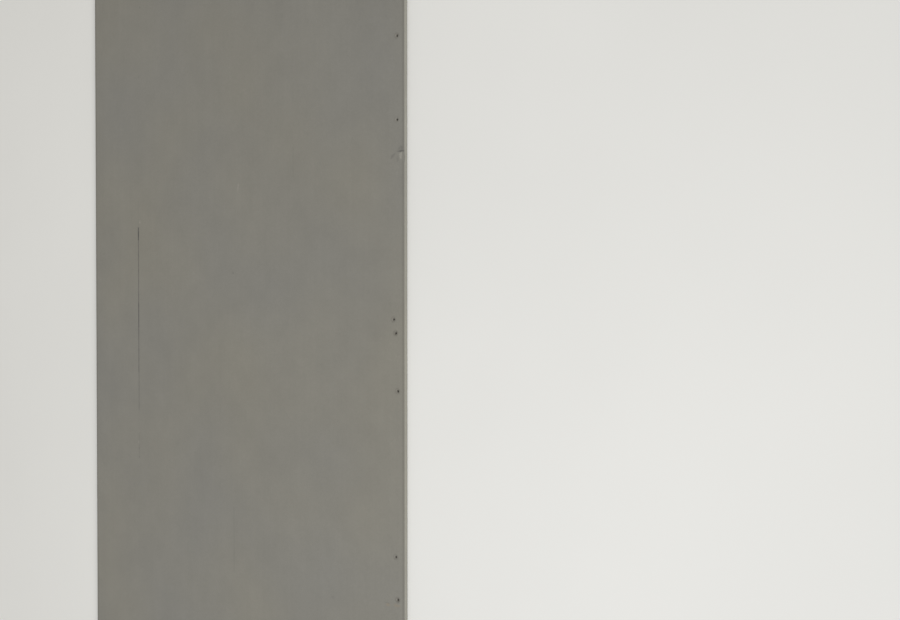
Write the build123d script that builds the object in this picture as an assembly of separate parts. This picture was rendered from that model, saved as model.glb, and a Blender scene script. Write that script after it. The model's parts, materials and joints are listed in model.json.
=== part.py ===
from build123d import *
import os
from math import cos, radians, sin

# A full sheet of paper-faced gypsum wallboard, lying face up with its back flat on the floor.
# X runs across the width, Y along the length and Z up through the thickness.
# The origin is at the middle of the back. All sizes are in millimetres and degrees.

# The sheet as it is sold.
SHEET_WIDTH = 1200.0
SHEET_LENGTH = 2500.0
SHEET_THICKNESS = 12.5

# The long edges. The face slopes down to them, to leave room for jointing tape and filler.
TAPER_WIDTH = 50.0
TAPER_DEPTH = 1.3
TAPER_START_RADIUS = 400.0

# The corners of the long edges, rounded where the face paper folds round the core.
FACE_CORNER_RADIUS = 2.0
BACK_CORNER_RADIUS = 1.2

# The back. The face paper folds under the core along each long edge, and the back paper is
# glued on over the fold, so that the fold shows as a strip a little higher than the rest.
FOLD_STRIP_WIDTH = 15.0
FOLD_STRIP_STEP = 0.3

# One hole left by a wallboard screw: a round shank hole right through, the seat that the
# trumpet-shaped head pressed into the core, and the shallow dimple in the paper round it.
SHANK_HOLE_RADIUS = 1.9
HEAD_RADIUS = 4.1
HEAD_SEAT_DEPTH = 2.7
DIMPLE_WIDTH = 1.4
DIMPLE_DEPTH = 0.4

# The screw holes near the right edge. Each entry is the distance from that edge, and then
# the places along the length, from the middle of the sheet.
SCREW_HOLES = [
    (23.0, [661.0, 460.0]),
    (21.0, [-194.0, -699.0]),
    (27.0, [-54.0, -596.0]),
    (33.0, [-21.0]),
]

# The knock in the right edge: a round-bottomed dent in the corner between face and edge.
KNOCK_PLACE = 368.0
KNOCK_LENGTH = 40.0
KNOCK_DEPTH = 1.6
KNOCK_TILT = 15.0

# How far a cutter reaches past the face or the back, so that it cuts cleanly through.
CUT_PAST = 1.0
# How far a dimple's cutter stands above the face, which slopes a little across the dimple.
DIMPLE_CUT_ABOVE = 0.3

EDGE_X = SHEET_WIDTH / 2
EDGE_HEIGHT = SHEET_THICKNESS - TAPER_DEPTH


def face_height(edge_distance):
    """Height of the face above the back, at a distance from a long edge."""
    if edge_distance >= TAPER_WIDTH:
        return SHEET_THICKNESS
    return EDGE_HEIGHT + TAPER_DEPTH * edge_distance / TAPER_WIDTH


def sheet_section():
    """The outline across the width: lapped back, tapered face and rounded long edges."""
    lap_x = EDGE_X - FOLD_STRIP_WIDTH
    outline = Polyline(
        (-EDGE_X, FOLD_STRIP_STEP),
        (-lap_x, FOLD_STRIP_STEP),
        (-lap_x, 0),
        (lap_x, 0),
        (lap_x, FOLD_STRIP_STEP),
        (EDGE_X, FOLD_STRIP_STEP),
        (EDGE_X, EDGE_HEIGHT),
        (EDGE_X - TAPER_WIDTH, SHEET_THICKNESS),
        (-EDGE_X + TAPER_WIDTH, SHEET_THICKNESS),
        (-EDGE_X, EDGE_HEIGHT),
        close=True,
    )
    section = make_face(outline)
    section = fillet(section.vertices().group_by(Axis.Y)[-1], TAPER_START_RADIUS)
    section = fillet(edge_corners(section, EDGE_HEIGHT), FACE_CORNER_RADIUS)
    return fillet(edge_corners(section, FOLD_STRIP_STEP), BACK_CORNER_RADIUS)


def edge_corners(section, height):
    """The two corners of the section that lie at this height on the long edges."""
    at_height = section.vertices().filter_by_position(Axis.Y, height - 0.01, height + 0.01)
    across = at_height.sort_by(Axis.X)
    return [across[0], across[-1]]


def screw_hole(edge_distance, place):
    """The space that one screw leaves: shank hole, head seat and dimple, turned about its axis."""
    seat_top = -DIMPLE_DEPTH
    seat_bottom = seat_top - HEAD_SEAT_DEPTH
    dimple_slope = DIMPLE_WIDTH / DIMPLE_DEPTH
    rim_radius = HEAD_RADIUS + DIMPLE_WIDTH + dimple_slope * DIMPLE_CUT_ABOVE
    through = -SHEET_THICKNESS - CUT_PAST
    shank = Polyline((0, through), (SHANK_HOLE_RADIUS, through), (SHANK_HOLE_RADIUS, seat_bottom))
    seat = TangentArc((SHANK_HOLE_RADIUS, seat_bottom), (HEAD_RADIUS, seat_top), tangent=(0, 1))
    dimple = Polyline(
        (HEAD_RADIUS, seat_top),
        (rim_radius, DIMPLE_CUT_ABOVE),
        (0, DIMPLE_CUT_ABOVE),
        (0, through),
    )
    cutter = revolve(Plane.XZ * make_face(shank + seat + dimple), Axis.Z)
    return Pos(EDGE_X - edge_distance, place, face_height(edge_distance)) * cutter


def edge_knock():
    """The space of the knock: the cap of a large ball that dips into the corner of the edge."""
    ball_radius = ((KNOCK_LENGTH / 2) ** 2 + KNOCK_DEPTH**2) / (2 * KNOCK_DEPTH)
    reach = ball_radius - KNOCK_DEPTH
    ball_x = EDGE_X + reach * sin(radians(KNOCK_TILT))
    ball_z = EDGE_HEIGHT + reach * cos(radians(KNOCK_TILT))
    return Pos(ball_x, KNOCK_PLACE, ball_z) * Sphere(ball_radius)


def drywall_sheet():
    """The whole sheet, one piece: the long form, then its screw holes and the knock."""
    sheet = extrude(Plane.XZ * sheet_section(), SHEET_LENGTH / 2, both=True)
    for edge_distance, places in SCREW_HOLES:
        for place in places:
            sheet -= screw_hole(edge_distance, place)
    return sheet - edge_knock()


os.makedirs("parts", exist_ok=True)
export_step(drywall_sheet(), "parts/drywall_sheet.step")
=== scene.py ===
import json
import logging
import math
from dataclasses import dataclass, field, replace
from enum import Enum, IntEnum
from typing import Any, ClassVar, Iterable, NamedTuple

import bmesh
import bpy
from mathutils import Matrix, Vector, noise


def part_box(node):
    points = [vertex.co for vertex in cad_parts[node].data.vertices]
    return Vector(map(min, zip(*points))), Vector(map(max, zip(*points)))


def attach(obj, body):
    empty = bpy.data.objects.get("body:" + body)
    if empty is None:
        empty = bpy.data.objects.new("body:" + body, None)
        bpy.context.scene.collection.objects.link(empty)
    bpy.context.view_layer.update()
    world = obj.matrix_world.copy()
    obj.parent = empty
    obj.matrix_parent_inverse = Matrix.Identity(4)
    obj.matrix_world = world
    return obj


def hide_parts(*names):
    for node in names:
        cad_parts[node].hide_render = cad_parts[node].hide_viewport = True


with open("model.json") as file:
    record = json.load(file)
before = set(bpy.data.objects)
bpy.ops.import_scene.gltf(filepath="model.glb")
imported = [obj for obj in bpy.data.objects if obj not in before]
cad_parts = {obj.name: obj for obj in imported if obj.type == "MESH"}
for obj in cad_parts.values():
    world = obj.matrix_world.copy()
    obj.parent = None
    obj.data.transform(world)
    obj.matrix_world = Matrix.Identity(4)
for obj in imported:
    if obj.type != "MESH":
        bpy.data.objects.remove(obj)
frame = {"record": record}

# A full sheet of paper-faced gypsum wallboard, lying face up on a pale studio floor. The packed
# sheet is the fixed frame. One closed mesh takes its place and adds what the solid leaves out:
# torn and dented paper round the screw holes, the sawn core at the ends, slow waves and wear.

log = logging.getLogger("wallboard")

MM = 0.001
SHEET_NODE = "drywall_sheet"

# What each point of the mesh carries: the dark residue of a screw hole, and torn paper.
RESIDUE = "screw_residue"
TORN = "torn_paper"

# Nearly all values of Blender's noise texture lie between these two.
NOISE_LOW = 0.3
NOISE_HIGH = 0.7
NOISE_ROUGHNESS = 0.55

# The sockets of Blender's mix node that mix two colours.
MIX_SHARE, MIX_UNDER, MIX_OVER, MIX_RESULT = 0, 6, 7, 2

# Where the rim of a screw hole's open cell starts, as a turn about the hole: at a corner.
RIM_START = -0.75 * math.pi

# How dark the smudge round each screw hole is, as the photograph shows it, by the hole's place
# along the sheet in millimetres.
SMUDGES = {661: 0.62, 460: 0.38, -21: 0.62, -54: 0.9, -194: 0.7, -596: 0.64, -699: 0.9}

Colour = tuple[float, float, float, float]
Socket = bpy.types.NodeSocket
Tree = bpy.types.NodeTree
Vert = bmesh.types.BMVert
Loop = list[Vert]
Outline = list[tuple[float, float]]


class Surface(IntEnum):
    """The finish that a face of the sheet's mesh wears, as its material slot's number."""

    FACE_PAPER = 0
    BACK_PAPER = 1
    GYPSUM = 2


class Mix(Enum):
    """How a coat of colour meets what lies under it."""

    OVER = "MIX"
    SHADE = "MULTIPLY"


class Tone(Enum):
    """Which way a mark on the paper departs from the clean paper."""

    DARK = "dark"
    PALE = "pale"
    WARM = "warm"


class Datum(Enum):
    """What the height of a ring in a screw hole's lining is measured from."""

    FACE = "the face at that place, with the dimple pressed into it"
    AXIS = "the face at the hole's axis, downwards"
    BACK = "the back, upwards"


class Coat(NamedTuple):
    """A coat of colour: the colour, how much of it shows, and how it meets what lies under it."""

    colour: Colour | Socket
    share: float | Socket
    mix: Mix = Mix.OVER


def linear(colour: str) -> Colour:
    """Turn an sRGB hex colour into the linear colour that Blender works in, by the sRGB standard.

    Args:
        colour: six hex digits after a hash sign.

    Returns:
        Red, green, blue and full opacity, each from 0 to 1.
    """
    parts = [int(colour[at:at + 2], 16) / 255 for at in (1, 3, 5)]
    red, green, blue = (c / 12.92 if c <= 0.04045 else ((c + 0.055) / 1.055) ** 2.4 for c in parts)
    return red, green, blue, 1.0


def per_metre(feature_mm: float) -> float:
    """The texture scale, in features for each metre, that draws a feature of this real size."""
    return 1 / (feature_mm * MM)


def smooth(value: float, low: float, high: float) -> float:
    """Rise smoothly from 0 to 1 as the value goes from low to high."""
    share = min(1.0, max(0.0, (value - low) / (high - low)))
    return share * share * (3 - 2 * share)


def ripple(x: float, y: float, z: float, feature_mm: float) -> float:
    """Repeatable noise from 0 to 1 at a place in millimetres, with features of this size."""
    return 0.5 + 0.5 * noise.noise(Vector((x, y, z)) / feature_mm)


def spread(start: float, end: float, steps: int) -> list[float]:
    """Evenly spaced values from start towards end, without the end itself."""
    return [start + (end - start) * step / steps for step in range(steps)]


def nearest(places: dict[int, float], wanted: float) -> int:
    """The number of the place that lies nearest to the one wanted."""
    return min(places, key=lambda number: abs(places[number] - wanted))


def add_node(
    tree: Tree,
    kind: str,
    settings: dict[str, Any] | None = None,
    inputs: dict[str | int, Any] | None = None,
) -> bpy.types.Node:
    """Add a node with its settings, its fixed values and the links into it.

    Args:
        tree: the material's node tree.
        kind: Blender's name for the node's type.
        settings: the node's own settings, by name.
        inputs: for each input socket, by name or number, a fixed value or a socket to link.

    Returns:
        The new node.
    """
    node = tree.nodes.new(kind)
    for name, value in (settings or {}).items():
        setattr(node, name, value)
    for socket, value in (inputs or {}).items():
        if isinstance(value, Socket):
            tree.links.new(value, node.inputs[socket])
        else:
            node.inputs[socket].default_value = value
    return node


def wandering(tree: Tree, place: Socket, feature_mm: float, reach_mm: float) -> Socket:
    """Shift the coordinates across the sheet at random, so that what is drawn by them bends.

    Args:
        tree: the material's node tree.
        place: the coordinates, in metres.
        feature_mm: the size of one bend.
        reach_mm: how far the coordinates stray in all.

    Returns:
        The shifted coordinates.
    """
    pattern = {"Vector": place, "Scale": per_metre(feature_mm), "Detail": 2.0}
    bends = add_node(tree, "ShaderNodeTexNoise", None, pattern).outputs["Color"]
    reach = reach_mm * MM
    shift = {0: bends, 1: (reach, reach, 0), 2: (-reach / 2, -reach / 2, 0)}
    centred = add_node(tree, "ShaderNodeVectorMath", {"operation": "MULTIPLY_ADD"}, shift)
    sides = {0: place, 1: centred.outputs[0]}
    return add_node(tree, "ShaderNodeVectorMath", {"operation": "ADD"}, sides).outputs[0]


def fading(
    tree: Tree, value: Socket, start: float, end: float, strength: float, patchy: Socket
) -> Socket:
    """A share that fades smoothly to nothing as a value goes from start to end.

    Args:
        tree: the material's node tree.
        value: the value to follow.
        start: where the share is full.
        end: where it is nothing.
        strength: the full share.
        patchy: a factor that breaks the share up.

    Returns:
        The share.
    """
    rising = start > end
    low, high = (end, start) if rising else (start, end)
    limits = {"From Min": low, "From Max": high, "To Min": 0.0 if rising else strength}
    limits |= {"Value": value, "To Max": strength if rising else 0.0}
    fade = add_node(tree, "ShaderNodeMapRange", {"interpolation_type": "SMOOTHSTEP"}, limits)
    sides = {0: fade.outputs[0], 1: patchy}
    return add_node(tree, "ShaderNodeMath", {"operation": "MULTIPLY"}, sides).outputs[0]


def carried(tree: Tree, name: str, patchy: Socket) -> Socket:
    """How much of something the mesh carries, broken up by a factor.

    Args:
        tree: the material's node tree.
        name: the mesh's attribute that says how much.
        patchy: the factor that breaks it up.

    Returns:
        The share.
    """
    amount = add_node(tree, "ShaderNodeAttribute", {"attribute_name": name}).outputs["Fac"]
    sides = {0: amount, 1: patchy}
    return add_node(tree, "ShaderNodeMath", {"operation": "MULTIPLY"}, sides).outputs[0]


def backdrop_rays(tree: Tree) -> Socket:
    """Pick out the rays that see the backdrop: the camera's, and those in gloss and glass.

    Args:
        tree: the node tree of the floor or the world.

    Returns:
        A factor of 1 for those rays and 0 for all others.
    """
    path = add_node(tree, "ShaderNodeLightPath")
    seen = path.outputs["Is Camera Ray"]
    for name in ("Is Glossy Ray", "Is Transmission Ray"):
        sides = {0: seen, 1: path.outputs[name]}
        seen = add_node(tree, "ShaderNodeMath", {"operation": "MAXIMUM"}, sides).outputs[0]
    return seen


def layered(tree: Tree, base: Colour | Socket, coats: Iterable[Coat]) -> Socket:
    """Lay coats of colour over a base, one after another.

    Args:
        tree: the material's node tree.
        base: the colour at the bottom.
        coats: the coats, from the lowest up.

    Returns:
        The colour of it all.
    """
    colour = base
    for coat in coats:
        settings = {"data_type": "RGBA", "blend_type": coat.mix.value}
        sides = {MIX_SHARE: coat.share, MIX_UNDER: colour, MIX_OVER: coat.colour}
        colour = add_node(tree, "ShaderNodeMix", settings, sides).outputs[MIX_RESULT]
    return colour


@dataclass(frozen=True)
class Pattern:
    """A soft random pattern that wanders between two factors, low and high.

    feature_mm is the real size of one patch. stretch is how many times longer a patch is along
    each axis, and turn_deg turns the stretched patches about the vertical. detail is how many
    finer layers the pattern has.
    """

    feature_mm: float
    low: float
    high: float
    stretch: tuple[float, float, float] = (1, 1, 1)
    turn_deg: float = 0.0
    detail: float = 3.0

    def draw(self, tree: Tree, place: Socket) -> Socket:
        """Draw the pattern.

        Args:
            tree: the material's node tree.
            place: the coordinates, in metres.

        Returns:
            The factor.
        """
        turned = {"Rotation": (0, 0, math.radians(self.turn_deg)), "Scale": self.stretch}
        turned["Vector"] = place
        mapped = add_node(tree, "ShaderNodeMapping", {"vector_type": "TEXTURE"}, turned)
        grain = {"Scale": per_metre(self.feature_mm), "Detail": self.detail}
        grain |= {"Vector": mapped.outputs[0], "Roughness": NOISE_ROUGHNESS}
        limits = {"From Min": NOISE_LOW, "From Max": NOISE_HIGH}
        limits |= {"To Min": self.low, "To Max": self.high}
        limits["Value"] = add_node(tree, "ShaderNodeTexNoise", None, grain).outputs[0]
        return add_node(tree, "ShaderNodeMapRange", None, limits).outputs[0]


@dataclass(frozen=True)
class Mark:
    """A local mark on the face, in the sheet's millimetres: its middle, half sizes and strength.

    A ruled mark is a soft bar, and any other is a soft oval. The mark is full as far as a share
    of the way out from its middle and fades from there.
    """

    OVAL_FULL: ClassVar[float] = 0.3
    BAR_FULL: ClassVar[float] = 0.5

    x: float
    y: float
    half_width: float
    half_length: float
    strength: float
    tone: Tone = Tone.DARK
    turn_deg: float = 0.0
    ruled: bool = False

    def share(self, tree: Tree, place: Socket, patchy: Socket) -> Socket:
        """Draw where the mark lies.

        Args:
            tree: the material's node tree.
            place: the coordinates in metres.
            patchy: a factor that breaks the mark up.

        Returns:
            How much of the mark shows.
        """
        thin = min(self.half_width, self.half_length)
        scale = (thin, thin) if self.ruled else (self.half_width, self.half_length)
        inputs = {"Vector": place, "Location": (self.x * MM, self.y * MM, 0)}
        inputs["Rotation"] = (0, 0, math.radians(self.turn_deg))
        inputs["Scale"] = (scale[0] * MM, scale[1] * MM, 1)
        local = add_node(tree, "ShaderNodeMapping", {"vector_type": "TEXTURE"}, inputs).outputs[0]
        if not self.ruled:
            reach = add_node(tree, "ShaderNodeVectorMath", {"operation": "LENGTH"}, {0: local})
            out = reach.outputs["Value"]
            return fading(tree, out, self.OVAL_FULL, 1.0, self.strength, patchy)
        # The bar's longer side is cut down to its thin one, so that it fades evenly all round.
        sides = add_node(tree, "ShaderNodeVectorMath", {"operation": "ABSOLUTE"}, {0: local})
        beyond = (self.half_width / thin - 1, self.half_length / thin - 1, 0)
        cut = {0: sides.outputs[0], 1: beyond}
        short = add_node(tree, "ShaderNodeVectorMath", {"operation": "SUBTRACT"}, cut)
        axes = add_node(tree, "ShaderNodeSeparateXYZ", None, {0: short.outputs[0]})
        both = {0: axes.outputs[0], 1: axes.outputs[1]}
        out = add_node(tree, "ShaderNodeMath", {"operation": "MAXIMUM"}, both).outputs[0]
        return fading(tree, out, self.BAR_FULL, 1.0, self.strength, patchy)


@dataclass(frozen=True)
class EdgeBand:
    """One of the bands along both long edges, the darker one and the pale rub with its painted
    highlight, which starts and is full at these distances from the edge.
    """

    colour: str
    start_mm: float
    full_mm: float
    strength: float


@dataclass(frozen=True)
class Finish:
    """A finish of one material, painted by the coordinates of the piece in metres."""

    name: ClassVar[str]

    def paint(self, tree: Tree, place: Socket) -> dict[str, Any]:
        """Work out a fixed value or a socket for each of the shader's inputs that is changed."""
        raise NotImplementedError

    def surround(self, tree: Tree, place: Socket, surface: Socket) -> Socket:
        """Change the finished shader, which most finishes leave as it is."""
        return surface

    def material(self) -> bpy.types.Material:
        """Build the finish.

        Returns:
            The material.
        """
        material = bpy.data.materials.new(self.name)
        material.use_nodes = True
        tree = material.node_tree
        tree.nodes.clear()
        place = add_node(tree, "ShaderNodeTexCoord").outputs["Object"]
        shader = add_node(tree, "ShaderNodeBsdfPrincipled", None, self.paint(tree, place))
        surface = self.surround(tree, place, shader.outputs[0])
        add_node(tree, "ShaderNodeOutputMaterial", None, {"Surface": surface})
        return material


@dataclass(frozen=True, kw_only=True)
class Paper(Finish):
    """What both papers of wallboard share: clouds, finer shades, and fibres in three directions.

    The fibres wander, so that none is straight, and stand a little out of the paper. Each paper
    lays its own wear over them, and the face paper also a painted highlight and painted shade.
    """

    colour: str
    clouded: str
    clouds: Pattern
    shades: tuple[Pattern, ...]
    fibre: Pattern
    fibre_turns_deg: tuple[float, ...]
    bend_mm: float
    bend_reach_mm: float
    relief_mm: float
    relief_strength: float
    roughness: float | Pattern
    specular: float = 0.3

    def wear(self, tree: Tree, place: Socket, bent: Socket) -> list[Coat]:
        """Lay the paper's own coats of wear; the face paper's also hold painted highlight and
        shade.
        """
        raise NotImplementedError

    def paint(self, tree: Tree, place: Socket) -> dict[str, Any]:
        """Work out the shader's inputs.

        Args:
            tree: the material's node tree.
            place: the coordinates, in metres.

        Returns:
            The colour, roughness, specular level and fibres' relief.
        """
        bent = wandering(tree, place, self.bend_mm, self.bend_reach_mm)
        laid = [replace(self.fibre, turn_deg=turn) for turn in self.fibre_turns_deg]
        fibres = [fibre.draw(tree, bent) for fibre in laid]
        shades = [shade.draw(tree, place) for shade in self.shades] + fibres
        coats = [Coat(linear(self.clouded), self.clouds.draw(tree, place))]
        coats += [Coat(shade, 1.0, Mix.SHADE) for shade in shades]
        coats += self.wear(tree, place, bent)
        height = layered(tree, fibres[0], [Coat(fibre, 1.0, Mix.SHADE) for fibre in fibres[1:]])
        relief = {"Strength": self.relief_strength, "Distance": self.relief_mm * MM}
        bump = add_node(tree, "ShaderNodeBump", None, {"Height": height, **relief})
        rough = self.roughness
        return {
            "Base Color": layered(tree, linear(self.colour), coats),
            "Roughness": rough.draw(tree, place) if isinstance(rough, Pattern) else rough,
            "Specular IOR Level": self.specular,
            "Normal": bump.outputs[0],
        }


@dataclass(frozen=True, kw_only=True)
class FacePaper(Paper):
    """Grey face paper of wallboard: recycled paper, calendered, so matte with short fibres.

    To the eye it is an even warm grey with a cloudy formation, a faint grain along the sheet, pale
    and dark fibres, and a few specks. The fibres are drawn coarser than the real 2 mm by 0.03 mm,
    because finer ones don't show.
    """

    name: ClassVar[str] = "face_paper"

    marks: tuple[Mark, ...]
    half_width_mm: float

    colour: str = "#82807a"
    clouded: str = "#848178"
    clouds: Pattern = Pattern(420.0, 0.0, 1.0, detail=1.0)
    shades: tuple[Pattern, ...] = (
        Pattern(210.0, 0.978, 1.022, detail=2.0),  # broad clouds in the pulp
        Pattern(55.0, 0.978, 1.022),  # blotches where the paper dried unevenly
        Pattern(11.0, 0.98, 1.02),  # the cloudy formation
        Pattern(1.3, 0.975, 1.025, detail=2.0),  # the grain
        Pattern(9.0, 0.99, 1.01, (1, 60, 1)),  # streaks along the sheet
    )
    fibre: Pattern = Pattern(0.5, 0.955, 1.045, (8, 1, 1), detail=1.0)
    fibre_turns_deg: tuple[float, ...] = (12.0, 74.0, 133.0)
    bend_mm: float = 12.0
    bend_reach_mm: float = 4.0
    relief_mm: float = 0.3
    relief_strength: float = 0.3
    roughness: float | Pattern = Pattern(11.0, 0.82, 0.9)

    # Specks: one in each cell of speck_mm whose random number lies past speck_lot. It is full up
    # to speck_full of its radius.
    dark: str = "#3a3a3c"
    speck_mm: float = 17.0
    speck_radius_mm: float = 0.55
    speck_full: float = 0.4
    speck_strength: float = 0.35
    speck_lot: tuple[float, float] = (0.52, 0.62)

    # Along the edges: a darker band, and paper rubbed pale where it folds round the edge together
    # with a painted highlight on the edge.
    edge_bands: tuple[EdgeBand, ...] = (
        # A darker band a few millimetres in from each long edge.
        EdgeBand("#4a4740", 10.0, 5.0, 0.22),
        # Partly real rubbing, partly a painted highlight where the edge catches the light.
        EdgeBand("#a9a79d", 1.4, 0.2, 0.5),
    )
    edge_patches: Pattern = Pattern(14.0, 0.65, 1.0, (1, 5, 1))

    # Marks: a ruled one hardly strays from its line. They lie on the face only, so they are full
    # above marks_full_mm and gone below marks_none_mm.
    torn: str = "#c4c0b5"
    stain: str = "#93826a"
    mark_bend_mm: float = 7.0
    ruled_stray_mm: float = 0.6
    rubbed_stray_mm: float = 5.0
    ruled_patches: Pattern = Pattern(12.0, 0.65, 1.1)
    rubbed_patches: Pattern = Pattern(2.2, 0.35, 1.35, (1, 2.5, 1), 20.0)
    marks_none_mm: float = 5.0
    marks_full_mm: float = 8.0

    residue: str = "#443f39"
    screw_patches: Pattern = Pattern(1.6, 0.6, 1.2)

    def wear(self, tree: Tree, place: Socket, bent: Socket) -> list[Coat]:
        """Lay the specks and all the wear, with the painted highlight on the long edges and the
        painted shade along the knock's crease.

        Args:
            tree: the material's node tree.
            place: the coordinates, in metres.
            bent: the wandering coordinates that the fibres follow; not used here.

        Returns:
            The coats.
        """
        coats = [Coat(linear(self.dark), self.specks(tree, place))]
        for lay in (self.edge_darkening_rub_and_highlight, self.markings, self.screw_wear):
            coats += lay(tree, place)
        return coats

    def specks(self, tree: Tree, place: Socket) -> Socket:
        """Scatter the dark specks of recycled paper, in about a third of the cells.

        Args:
            tree: the material's node tree.
            place: the coordinates in metres.

        Returns:
            How dark the paper is speckled, from 0 to 1.
        """
        inputs = {"Vector": place, "Scale": per_metre(self.speck_mm)}
        cells = add_node(tree, "ShaderNodeTexVoronoi", {"voronoi_dimensions": "2D"}, inputs)
        none, full = self.speck_lot
        limits = {"From Min": none, "From Max": full, "To Min": 0.0, "To Max": 1.0}
        limits["Value"] = cells.outputs["Color"]
        some = add_node(tree, "ShaderNodeMapRange", None, limits).outputs[0]
        end = self.speck_radius_mm / self.speck_mm
        start = end * self.speck_full
        return fading(tree, cells.outputs["Distance"], start, end, self.speck_strength, some)

    def edge_darkening_rub_and_highlight(self, tree: Tree, place: Socket) -> list[Coat]:
        """Lay the darker band, and the rubbed paper with its painted highlight, along the long
        edges.

        Args:
            tree: the material's node tree.
            place: the coordinates in metres.

        Returns:
            The coats.
        """
        axes = add_node(tree, "ShaderNodeSeparateXYZ", None, {0: place})
        sideways = {0: axes.outputs["X"]}
        across = add_node(tree, "ShaderNodeMath", {"operation": "ABSOLUTE"}, sideways).outputs[0]
        patchy = self.edge_patches.draw(tree, place)
        coats = []
        for band in self.edge_bands:
            start, end = ((self.half_width_mm - mm) * MM for mm in (band.full_mm, band.start_mm))
            share = fading(tree, across, start, end, band.strength, patchy)
            coats.append(Coat(linear(band.colour), share))
        return coats

    def markings(self, tree: Tree, place: Socket) -> list[Coat]:
        """Lay the pencil line, scuffs, stains and the painted shade along the knock's crease, on
        the face side only.

        Args:
            tree: the material's node tree.
            place: the coordinates in metres.

        Returns:
            The coats.
        """
        height = add_node(tree, "ShaderNodeSeparateXYZ", None, {0: place}).outputs["Z"]
        full, none = self.marks_full_mm * MM, self.marks_none_mm * MM
        ways = {
            True: (self.ruled_stray_mm, self.ruled_patches),
            False: (self.rubbed_stray_mm, self.rubbed_patches),
        }
        places, patchy = {}, {}
        for ruled, (stray_mm, patches) in ways.items():
            places[ruled] = wandering(tree, place, self.mark_bend_mm, stray_mm)
            patchy[ruled] = fading(tree, height, full, none, 1.0, patches.draw(tree, place))
        colours = {Tone.DARK: self.dark, Tone.PALE: self.torn, Tone.WARM: self.stain}
        coats = []
        for mark in self.marks:
            share = mark.share(tree, places[mark.ruled], patchy[mark.ruled])
            coats.append(Coat(linear(colours[mark.tone]), share))
        return coats

    def screw_wear(self, tree: Tree, place: Socket) -> list[Coat]:
        """Lay the torn fibres and the dark residue round the screw holes.

        Args:
            tree: the material's node tree.
            place: the coordinates in metres.

        Returns:
            The coats.
        """
        patchy = self.screw_patches.draw(tree, place)
        left = {TORN: self.torn, RESIDUE: self.residue}
        return [Coat(linear(colour), carried(tree, name, patchy)) for name, colour in left.items()]


@dataclass(frozen=True, kw_only=True)
class BackPaper(Paper):
    """Unbleached back paper of wallboard: coarser recycled paper than the face, pressed on wet.

    To the eye it is a warm grey-brown with long fibres, soft clouds where the glue soaked in and
    fine lines along the sheet from the belt it was formed on. The fibres are drawn coarser than
    the real 3 mm by 0.04 mm, so that they show.
    """

    name: ClassVar[str] = "back_paper"

    colour: str = "#a39c8a"
    clouded: str = "#978f7d"
    clouds: Pattern = Pattern(140.0, 0.0, 0.8)
    shades: tuple[Pattern, ...] = (
        Pattern(6.0, 0.98, 1.02, (1, 90, 1)),  # lines from the belt
        Pattern(8.0, 0.96, 1.04),  # the cloudy formation
    )
    fibre: Pattern = Pattern(0.7, 0.93, 1.07, (9, 1, 1), detail=1.0)
    fibre_turns_deg: tuple[float, ...] = (31.0, 97.0, 158.0)
    bend_mm: float = 16.0
    bend_reach_mm: float = 6.0
    relief_mm: float = 0.4
    relief_strength: float = 0.4
    roughness: float | Pattern = 0.9

    # Pale strands: long loose fibres on top, which show only here and there.
    pale: str = "#bdb6a4"
    strand: Pattern = Pattern(1.0, -0.6, 0.3, (12, 1, 1), detail=1.0)
    strand_turns_deg: tuple[float, ...] = (64.0, 121.0, 3.0)

    torn: str = "#cbc5b4"

    def wear(self, tree: Tree, place: Socket, bent: Socket) -> list[Coat]:
        """Lay the pale strands, and the torn paper where the screw holes come out.

        Args:
            tree: the material's node tree.
            place: the coordinates, in metres.
            bent: the wandering coordinates that the fibres follow.

        Returns:
            The coats.
        """
        laid = [replace(self.strand, turn_deg=turn) for turn in self.strand_turns_deg]
        coats = [Coat(linear(self.pale), strand.draw(tree, bent)) for strand in laid]
        torn = add_node(tree, "ShaderNodeAttribute", {"attribute_name": TORN}).outputs["Fac"]
        return [*coats, Coat(linear(self.torn), torn)]


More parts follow.
